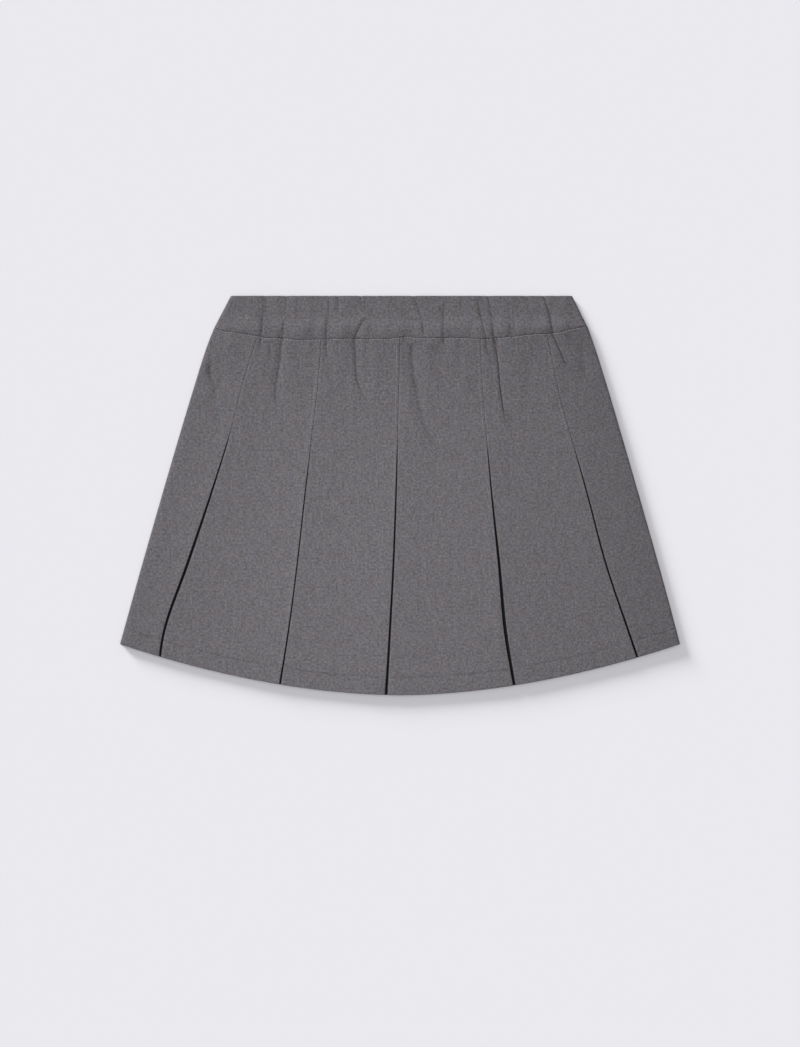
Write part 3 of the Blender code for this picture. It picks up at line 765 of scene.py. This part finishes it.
def make_panel(panel, material):
    rows = panel_rows(panel.seam_step, panel.middle_step)
    counts = column_counts(panel)
    lines = [panel_line(panel, above_edge(share), counts) for share in rows]
    x, level, shade, flat, pressed = np.moveaxis(np.array(lines), 2, 0)
    share = rows[:, None]
    to_hem = (1 - share) * PANEL_LENGTH
    row_walls = np.array([wall_at(row) for row in rows])[:, None]
    walls = mix(row_walls, np.minimum(row_walls, PRESSED_WALL), pressed)
    row_x = panel.facing * x
    depth = panel_depth(row_x, share)
    puff, crease_share, clear_of_sides = panel_puff(row_x, share, depth)
    sink, painted_shade = crease_depth(row_x, depth)
    room = clear_of_folds(x, panel.limits, rows) * flat
    sink, painted_shade = sink * room * crease_share, painted_shade * room
    lift = puff + ripples(row_x, depth) * clear_of_sides
    if panel.facing < 0:
        lift, sink, painted_shade = 0.0, BACK_CREASES * np.maximum(sink, 0), BACK_PAINTED_SHADE * painted_shade
    turned_in = panel.edge_share * seam_roll(row_x, share * PANEL_LENGTH)
    z = level + (row_walls - walls) / 2 + lift - sink + hem_level(to_hem, panel.hem_proud) + turned_in
    grids = []
    for side in (1, -1):
        grid_x, grid_z = offset(x, z, side * walls / 2, closed=False)
        grid_x, grid_z = panel.facing * grid_x, panel.level + panel.facing * grid_z
        grids.append(world(grid_x, panel_depth(grid_x, share), grid_z))
    # painted shade of the slots, the last span, the creases and the ditch of the hem stitches
    shades = np.maximum(shade, painted_shade + flat * hem_painted_shade(row_x, to_hem))
    if panel.facing < 0:
        grids, shades = [grid[:, ::-1] for grid in reversed(grids)], shades[:, ::-1]
    return shell_object(panel.name, *grids, shades, False, material)


def clear_of_folds(x, limits, rows):
    """0 at the ends of the flat spans and 1 further in, so that creases leave the folds whole."""
    clear = np.ones(x.shape)
    for row, share in enumerate(rows):
        _, starts, ends = limits(above_edge(share))
        for end in starts[1:] + ends[:-1]:
            clear[row] *= smooth(np.abs(x[row] - end) / CREASE_KEEPS_OFF)
    return clear


# facing is 1 for the front and -1 for the back. The steps are those between the rows near the seam, between
# the rows further down and between the columns.
Panel = namedtuple(
    "Panel",
    "name facing level limits underfold hangs roll last_shade hem_proud edge_share"
    " seam_step middle_step column_step",
)
FRONT = Panel(
    name="front_cloth", facing=1, level=FRONT_LEVEL, limits=front_limits, underfold=FRONT_UNDERFOLD,
    hangs=HANGS, roll=ROLL_TURNS, last_shade=LAST_SPAN_SHADE, hem_proud=HEM_PROUD, edge_share=1.0,
    seam_step=2.6, middle_step=7.0, column_step=2.0,
)
BACK = Panel(
    name="back_cloth", facing=-1, level=BACK_LEVEL, limits=back_limits, underfold=BACK_UNDERFOLD,
    hangs=(NO_HANG,) * len(HANGS), roll=(), last_shade=(0.0, 0.0), hem_proud=0.0,
    edge_share=BACK_EDGE_SHARE, seam_step=3.6, middle_step=9.0, column_step=2.6,
)

# --- Waistband ---


def band_rows():
    bottom = [BAND_DEPTH - up for up in BAND_SEAM_ROWS]
    return np.array([*BAND_TOP_ROWS, *BAND_MIDDLE_ROWS, *bottom]) / BAND_DEPTH


def band_wall(share):
    """The band's wall is round at the top edge and turns in at the seam."""
    at_top = np.maximum(TOP_EDGE_LEFT, 1 - rounding(share * BAND_DEPTH, TOP_ROUND))
    return BAND_WALL * at_top - 2 * EDGE_DROP * rounding((1 - share) * BAND_DEPTH, EDGE_ROLL)


def band_sides(share):
    """The x of the waistband's left and right side at a row."""
    return (
        -mix(half_width(-1, 0.0), -SEAM_END[-1].x, share),
        mix(half_width(1, 0.0), SEAM_END[1].x, share),
    )


def band_turn(centre_x, start):
    """The loop's half turn at one of its ends, without its first and last points."""
    points = []
    for step in range(1, BAND_TURN_STEPS):
        angle = math.radians(start - 180 * step / BAND_TURN_STEPS)
        points.append((centre_x + BAND_TURN * math.cos(angle), BAND_MIDDLE + BAND_TURN * math.sin(angle)))
    return points


def band_line(share):
    """One row of the loop pressed flat: the front wall, the right turn, the back wall and the left turn."""
    left, right = band_sides(share)
    left, right = left + BAND_REACH, right - BAND_REACH
    places = np.linspace(left, right, BAND_SAMPLES)
    worth = columns_worth(places, places, band_depth(places, share))
    front = np.interp(np.linspace(0, worth[-1], BAND_FRONT_COLUMNS), worth, places)
    line = [(x, BAND_MIDDLE + BAND_TURN) for x in front]
    line += band_turn(right, 90)
    line += [(x, BAND_LEVEL) for x in np.linspace(right, left, BAND_BACK_COLUMNS)]
    return line + band_turn(left, -90)


def make_band(material):
    rows = band_rows()
    x, z = np.moveaxis(np.array([band_line(share) for share in rows]), 2, 0)
    share = rows[:, None]
    walls = band_wall(share)
    left, right = band_sides(share)
    in_front, behind = (np.isclose(z, level) for level in (BAND_MIDDLE + BAND_TURN, BAND_LEVEL))
    grids = []
    for side in (1, -1):
        grid_x, grid_z = offset(x, z, side * walls / 2, closed=True)
        depth = band_depth(grid_x, share)
        end_fade = smooth(np.minimum(grid_x - left, right - grid_x) / BAND_END_FADE)
        sink, painted_shade = crease_depth(grid_x, depth)
        back_sink, back_painted_shade = crease_depth(-grid_x, depth)
        crease_share = 1.0 if side > 0 else BAND_INSIDE
        ridge = BAND_RIDGE * smooth((depth - RIDGE_START) / (RIDGE_FULL - RIDGE_START))
        ridge *= (1 + waves(grid_x, RIDGE_PULLS)) * (1 - RIDGE_DIP * smooth(share**DIP_POWER))
        swell = BAND_LIFT + ridge + BAND_RIPPLES * ripples(grid_x, depth)
        pressed_in = crease_share * BAND_BACK_CREASES * np.maximum(back_sink, 0)
        lift = np.where(in_front, swell - crease_share * sink, np.where(behind, pressed_in, 0.0)) * end_fade
        nick = TOP_NICK * np.where(in_front, sink, back_sink) * end_fade * smooth(1 - depth / NICK_REACH)
        grids.append(world(grid_x, depth + nick, grid_z + lift))
        if side > 0:
            # painted shade in the creases, and along the top edge
            shades = np.where(in_front, painted_shade, np.where(behind, BACK_PAINTED_SHADE * back_painted_shade, 0.0)) * end_fade
            shades = np.maximum(shades, TOP_SHADE * (1 - smooth(share * BAND_DEPTH / TOP_SHADE_REACH)))
    return shell_object("waistband_cloth", *grids, shades, True, material)


# --- Stitches ---

StitchStyle = namedtuple("StitchStyle", "length pitch radius")
SEAM_STYLE = StitchStyle(1.5, 2.75, 0.24)
PLEAT_STYLE = StitchStyle(1.2, 2.85, 0.23)
HEM_STYLE = StitchStyle(1.5, 3.1, 0.11)
Ring = namedtuple("Ring", "along size")  # shares of half the stitch's length and of its radius
STITCH_RINGS = (Ring(-1.0, 0.35), Ring(-0.6, 0.85), Ring(0.0, 1.0), Ring(0.6, 0.85), Ring(1.0, 0.35))
STITCH_SIDES = 6
STITCH_PROUD = 0.45  # the thread's middle lies this share of its radius above the cloth's face
STITCH_DIP = 1.2  # and its ends this share of it below the middle
STITCH_SUNK = 0.29  # height of the stitches under the back, clear of the floor
SEAM_STITCH_DEPTH = 1.1  # the seam's stitches lie this far below it
SEAM_LINE_HALF = 172.0
SEAM_LINE_POINTS = 500
HEM_LINE_INSET = 1.0
HEM_LINE_POINTS = 80
PLEAT_STITCH_START = 4.0
PLEAT_LINE_END = 0.5  # share of the panel, below all the pleats' last stitches
PLEAT_LINE_POINTS = 120
STITCH_INSET = 2.5  # pleat stitches from the fold


def front_height(x, share):
    """Height of the front's outer face on a flat span, for the points at x on the rows at share."""
    depth = panel_depth(x, share)
    puff, crease_share, clear_of_sides = panel_puff(x, share, depth)
    sink, _ = crease_depth(x, depth)
    lift = puff + ripples(x, depth) * clear_of_sides - sink * crease_share
    hanging = []
    for one_x, one_share in zip(x, share):
        _, starts, ends = front_limits(one_share)
        number = min(int(np.searchsorted(ends, one_x)), len(ends) - 1)
        start, end = starts[number], ends[number]
        hanging.append(hang_level(hangs_at(one_share, HANGS)[number], (one_x - start) / (end - start)))
    walls = np.array([wall_at(one_share) for one_share in share])
    hem = hem_level((1 - share) * PANEL_LENGTH, HEM_PROUD) + walls / 2
    return FRONT_LEVEL + np.array(hanging) + lift + hem + seam_roll(x, share * PANEL_LENGTH)


def walk(points, style):
    """Pairs of points along a line, one pair for each stitch."""
    steps = np.linalg.norm(np.diff(points, axis=0), axis=1)
    along = np.concatenate([[0], np.cumsum(steps)])
    starts = np.arange(0, along[-1] - style.length, style.pitch)

    def at(place):
        return np.stack([np.interp(place, along, points[:, axis]) for axis in range(3)], -1)

    return at(starts), at(starts + style.length)


def stitch_points(start, end, radius, up):
    """Rings round each thread, which arches out of the cloth and dips back in."""
    middle, half = (start + end) / 2, (end - start) / 2
    length = np.linalg.norm(half, axis=1, keepdims=True)
    forward = half / length
    side = np.cross(forward, [0, 0, up])
    above = np.cross(side, forward)
    rings = []
    for ring in STITCH_RINGS:
        arch = above * radius * (STITCH_PROUD - STITCH_DIP * ring.along**2)
        centre = middle + half * ring.along + arch
        for number in range(STITCH_SIDES):
            turn = 2 * math.pi * number / STITCH_SIDES
            rings.append(centre + radius * ring.size * (math.cos(turn) * side + math.sin(turn) * above))
    return np.stack(rings, 1)


def stitch_faces():
    faces = []
    for ring in range(len(STITCH_RINGS) - 1):
        for number in range(STITCH_SIDES):
            a, b = ring * STITCH_SIDES + number, ring * STITCH_SIDES + (number + 1) % STITCH_SIDES
            faces.append([a, b, b + STITCH_SIDES, a + STITCH_SIDES])
    last = (len(STITCH_RINGS) - 1) * STITCH_SIDES
    for base, order in ((0, -1), (last, 1)):
        ring = [base + number for number in range(STITCH_SIDES)][::order]
        faces += [ring[:4], [ring[0], *ring[3:]]]
    return faces


def stitch_object(name, lines, style, up, material):
    """All the stitches along some lines as one mesh."""
    pairs = [walk(line, style) for line in lines]
    starts, ends = (np.concatenate(side) for side in zip(*pairs))
    points = stitch_points(starts, ends, style.radius, up)
    count = points.shape[1]
    faces = np.array(stitch_faces())[None] + count * np.arange(len(points))[:, None, None]
    return mesh_object(name, points.reshape(-1, 3) * MM, faces.reshape(-1, 4), material)


def stitch_line(x, share, facing):
    """A line on the front's outer face, or under the back."""
    z = front_height(x, share) if facing > 0 else np.full(len(x), STITCH_SUNK)
    return world(x, panel_depth(x, share), z)


def seam_line():
    """Along the waist seam, on the front's side of it."""
    x = np.linspace(-SEAM_LINE_HALF, SEAM_LINE_HALF, SEAM_LINE_POINTS)
    return stitch_line(x, np.full(len(x), SEAM_STITCH_DEPTH / PANEL_LENGTH), 1)


def hem_lines(panel):
    """Along the top of the hem turn, broken where the pleats stand open."""
    share = np.full(HEM_LINE_POINTS, 1 - HEM_TURN / PANEL_LENGTH)
    lines = []
    for start, end in zip(*panel.limits(share[0])[1:]):
        x = panel.facing * np.linspace(start + HEM_LINE_INSET, end - HEM_LINE_INSET, HEM_LINE_POINTS)
        lines.append(stitch_line(x, share, panel.facing))
    return lines


def pleat_lines(panel):
    """Down each pleat's edge, where it is stitched shut."""
    shares = np.linspace(PLEAT_STITCH_START / PANEL_LENGTH, PLEAT_LINE_END, PLEAT_LINE_POINTS)
    lines = []
    for number, pleat in enumerate(FRONT_PLEATS):
        x = panel.facing * np.array([panel.limits(share)[0][number].x - STITCH_INSET for share in shares])
        lines.append(stitch_line(x, shares, panel.facing)[panel_depth(x, shares) < pleat.stitched_to])
    return lines


# --- Materials ---

CLOTH_COLOUR = (0.1010, 0.0953, 0.1026)
WARM_TINT = (1.035, 0.998, 0.971)
COOL_TINT = (0.965, 1.006, 1.029)
PAINTED_SHADE_COLOUR = (0.004, 0.004, 0.0045)  # painted shade: the near-black that each point's shade blends the cloth toward
THREAD_COLOUR = (0.27, 0.26, 0.275)
HEM_THREAD_COLOUR = (0.085, 0.081, 0.085)
THREAD_DARK = 0.75  # share of its colour that a thread keeps between its twists
FLOOR_COLOUR = (0.810, 0.800, 0.834)

# Uneven greys, by the size of their grains. The noise between low and high is stretched to the whole range.
Grain = namedtuple("Grain", "across along detail roughness low high")
WARP = Grain(1.3, 6.0, 2.0, 0.5, 0.3, 0.7)
WEFT = Grain(5.4, 1.3, 2.0, 0.5, 0.3, 0.7)
FLECK = Grain(2.0, 2.1, 1.0, 0.4, 0.3, 0.7)
SLUB = Grain(5.0, 16.0, 2.0, 0.5, 0.35, 0.65)
CLOUD = Grain(9.5, 10.5, 3.0, 0.55, 0.3, 0.7)
TWIST = Grain(0.25, 0.25, 1.0, 0.5, 0.3, 0.7)
YARN_TONES = {WARP: 0.08, WEFT: 0.055, FLECK: 0.245, SLUB: 0.055}  # how much lighter or darker each makes it
CLOTH_ROUGHNESS = (0.82, 0.95)
THREAD_ROUGHNESS = (0.55, 0.75)

WEAVE_PITCH = 0.56
WEAVE_RELIEF = 0.06
THREAD_RELIEF = 0.05
BUMP_STRENGTH = 0.5
WEAVE_SHARE = 0.5  # of the relief, and the flecks have the rest
CLOTH_SHEEN = {
    "Specular IOR Level": 0.06,
    "Sheen Weight": 0.04,
    "Sheen Roughness": 0.6,
    "Sheen Tint": (0.8, 0.8, 0.84, 1.0),
}
FLOOR_LOOK = {"Base Color": (*FLOOR_COLOUR, 1.0), "Roughness": 1.0, "Specular IOR Level": 0.0}


class Nodes:
    """Short names for building a material's nodes."""

    def __init__(self, name):
        self.material = bpy.data.materials.new(name)
        self.material.use_nodes = True
        self.tree = self.material.node_tree
        self.shader = self.tree.nodes["Principled BSDF"]

    def feed(self, sockets, values):
        """Links each of these sockets to another node's output, or sets its number or colour."""
        for key, value in values.items():
            socket = sockets[key]
            if hasattr(value, "is_output"):
                self.tree.links.new(value, socket)
            else:
                socket.default_value = (*value, 1.0)[:4] if socket.type == "RGBA" else value

    def look(self, values):
        self.feed(self.shader.inputs, values)

    def add(self, kind, inputs, output=0, **settings):
        """Adds a node and returns one of its outputs."""
        node = self.tree.nodes.new("ShaderNode" + kind)
        for name, value in settings.items():
            setattr(node, name, value)
        self.feed(node.inputs, inputs)
        return node.outputs[output]

    def math(self, operation, *values):
        return self.add("Math", dict(enumerate(values)), operation=operation)

    def split(self, vector):
        return self.add("SeparateXYZ", {0: vector}).node.outputs

    def place(self):
        """The place on the cloth, which counts a climb as a step to the right."""
        x, y, z = self.split(self.add("TexCoord", {}, "Object"))
        return self.add("CombineXYZ", {0: self.math("ADD", x, z), 1: y})

    def noise(self, place, grain):
        grains = (1 / (grain.across * MM), 1 / (grain.along * MM), 1.0)
        scaled = self.add("Mapping", {"Vector": place, "Scale": grains})
        sizes = {"Scale": 1.0, "Detail": grain.detail, "Roughness": grain.roughness}
        return self.add("TexNoise", {"Vector": scaled, **sizes})

    def ramp(self, value, low, high, to_low, to_high):
        ends = {"From Min": low, "From Max": high, "To Min": to_low, "To Max": to_high}
        return self.add("MapRange", {"Value": value, **ends})

    def blend(self, share, first, second, kind="MIX"):
        colours = {6: first, 7: second}
        return self.add("Mix", {"Factor": share, **colours}, 2, data_type="RGBA", blend_type=kind)

    def bump(self, height, distance):
        inputs = {"Height": height, "Distance": distance * MM, "Strength": BUMP_STRENGTH}
        self.look({"Normal": self.add("Bump", inputs)})


def cloth_material(name):
    """Melange plain weave: threads of uneven greys both ways, with flecks and faint warm and cool clouds."""
    nodes = Nodes(name)
    place = nodes.place()
    yarns, factor = {}, 1.0
    for grain, tone in YARN_TONES.items():
        yarns[grain] = nodes.ramp(nodes.noise(place, grain), grain.low, grain.high, -1.0, 1.0)
        factor = nodes.math("ADD", nodes.math("MULTIPLY", yarns[grain], tone), factor)
    grey = nodes.add("CombineColor", dict.fromkeys(range(3), factor))
    cloud = nodes.ramp(nodes.noise(place, CLOUD), CLOUD.low, CLOUD.high, 0.0, 1.0)
    warm, cool = (tuple(np.multiply(CLOTH_COLOUR, tint)) for tint in (WARM_TINT, COOL_TINT))
    yarn = nodes.blend(1.0, nodes.blend(cloud, warm, cool), grey, "MULTIPLY")
    # painted shade: the shade attribute blends the cloth toward near-black in the slots, creases and hem
    # ditch, on the top edge and the last span
    shade = nodes.add("Attribute", {}, "Fac", attribute_name="shade")
    nodes.look(CLOTH_SHEEN)
    nodes.look({
        "Base Color": nodes.blend(shade, yarn, PAINTED_SHADE_COLOUR),
        "Roughness": nodes.ramp(yarns[FLECK], -1.0, 1.0, *CLOTH_ROUGHNESS),
    })
    turns = 2 * math.pi / (WEAVE_PITCH * MM)
    crests = [nodes.math("SINE", nodes.math("MULTIPLY", along, turns)) for along in nodes.split(place)[:2]]
    weave = nodes.math("MULTIPLY", nodes.math("MULTIPLY", *crests), WEAVE_SHARE)
    flecks = nodes.math("MULTIPLY", yarns[FLECK], 1 - WEAVE_SHARE)
    nodes.bump(nodes.math("ADD", weave, flecks), WEAVE_RELIEF)
    return nodes.material


def thread_material(name, colour):
    nodes = Nodes(name)
    twist = nodes.noise(nodes.place(), TWIST)
    darker = tuple(THREAD_DARK * channel for channel in colour)
    nodes.look({
        "Base Color": nodes.blend(nodes.ramp(twist, TWIST.low, TWIST.high, 0.0, 1.0), darker, colour),
        "Roughness": nodes.ramp(twist, TWIST.low, TWIST.high, *THREAD_ROUGHNESS),
    })
    nodes.bump(twist, THREAD_RELIEF)
    return nodes.material


def floor_material():
    nodes = Nodes("floor_paper")
    nodes.look(FLOOR_LOOK)
    return nodes.material


# --- Stage ---

FRAME_HEIGHT = 1047
MM_PER_PIXEL = 0.95238  # the skirt is 380 mm long and 399 pixels high
TOP_EDGE_ROW = 296.0  # pixels above the skirt
LENS, SENSOR = 85.0, 36.0
CAMERA_CLIP = 100.0  # metres
CAMERA_PLANE = 3.0  # height at which the scale holds
FLOOR_HALF = 20000.0
FLOOR_GAP = 0.05
WORLD_COLOUR = (0.95, 0.95, 0.98, 1.0)
WORLD_STRENGTH = 0.268

# azimuth is where the light comes from, counted from +Y towards -X. It and the next two are in degrees.
Sun = namedtuple("Sun", "name azimuth elevation softness strength")
SUNS = (Sun("key", 42.0, 15.0, 18.0, 4.33), Sun("fill", 0.0, 90.0, 50.0, 1.28))
Softbox = namedtuple("Softbox", "x y height width power")
SOFTBOX = Softbox(-75.0, -60.0, 400.0, 240.0, 0.93)


def make_floor():
    half, z = FLOOR_HALF, -FLOOR_GAP
    corners = np.array([(-half, -half, z), (half, -half, z), (half, half, z), (-half, half, z)]) * MM
    floor = mesh_object("floor", corners, np.array([[0, 1, 2, 3]]), floor_material())


def make_camera():
    """Straight above the middle of the photo's frame, as high as fits the frame's height."""
    data = bpy.data.cameras.new("camera")
    data.lens, data.sensor_width, data.clip_end = LENS, SENSOR, CAMERA_CLIP
    height = FRAME_HEIGHT * MM_PER_PIXEL * LENS / SENSOR
    centre = LENGTH / 2 - (FRAME_HEIGHT / 2 - TOP_EDGE_ROW) * MM_PER_PIXEL
    camera = linked("camera", data)
    camera.location = (0.0, centre * MM, (height + CAMERA_PLANE) * MM)
    bpy.context.scene.camera = camera


def make_sun(sun):
    data = bpy.data.lights.new(sun.name, "SUN")
    data.energy, data.angle = sun.strength, math.radians(sun.softness)
    turn, climb = math.radians(sun.azimuth), math.radians(sun.elevation)
    linked(sun.name, data).rotation_euler = (math.radians(90) - climb, 0.0, math.pi + turn)


def make_softbox(lit):
    """A lamp straight above the skirt that lights these pieces alone, and those near it most."""
    data = bpy.data.lights.new("softbox", "AREA")
    data.energy, data.size = SOFTBOX.power, SOFTBOX.width * MM
    lamp = linked("softbox", data)
    lamp.location = (SOFTBOX.x * MM, SOFTBOX.y * MM, SOFTBOX.height * MM)
    lamp.light_linking.receiver_collection = bpy.data.collections.new("softbox_lights")
    for piece in lit:
        lamp.light_linking.receiver_collection.objects.link(piece)


def make_world():
    space = bpy.data.worlds.new("studio")
    space.use_nodes = True
    background = space.node_tree.nodes["Background"]
    background.inputs["Color"].default_value = WORLD_COLOUR
    background.inputs["Strength"].default_value = WORLD_STRENGTH
    bpy.context.scene.world = space


# --- The skirt ---

cloth = cloth_material("suiting_cloth")
band_cloth = cloth_material("waistband_cloth")
thread = thread_material("sewing_thread", THREAD_COLOUR)
hem_thread = thread_material("hem_thread", HEM_THREAD_COLOUR)

front = make_panel(FRONT, cloth)
back = make_panel(BACK, cloth)
band = make_band(band_cloth)
stitches = {  # by the way they face, like a panel's
    1: [
        stitch_object("waist_seam_stitches", [seam_line()], SEAM_STYLE, 1, thread),
        stitch_object("pleat_stitches", pleat_lines(FRONT), PLEAT_STYLE, 1, thread),
        stitch_object("hem_stitches", hem_lines(FRONT), HEM_STYLE, 1, hem_thread),
    ],
    -1: [
        stitch_object("back_pleat_stitches", pleat_lines(BACK), PLEAT_STYLE, -1, thread),
        stitch_object("back_hem_stitches", hem_lines(BACK), HEM_STYLE, -1, hem_thread),
    ],
}
for piece, node, slot in (
    (front, "skirt_front", "suiting"),
    (back, "skirt_back", "suiting"),
    (band, "waistband", "waistband"),
):
    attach(piece, "root")
    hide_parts(node)
for piece in stitches[1] + stitches[-1]:
    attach(piece, "root")

make_floor()
make_camera()
make_world()
for sun in SUNS:
    make_sun(sun)
make_softbox([front, back, band, *stitches[1], *stitches[-1]])
bpy.context.scene.view_settings.view_transform = "Standard"
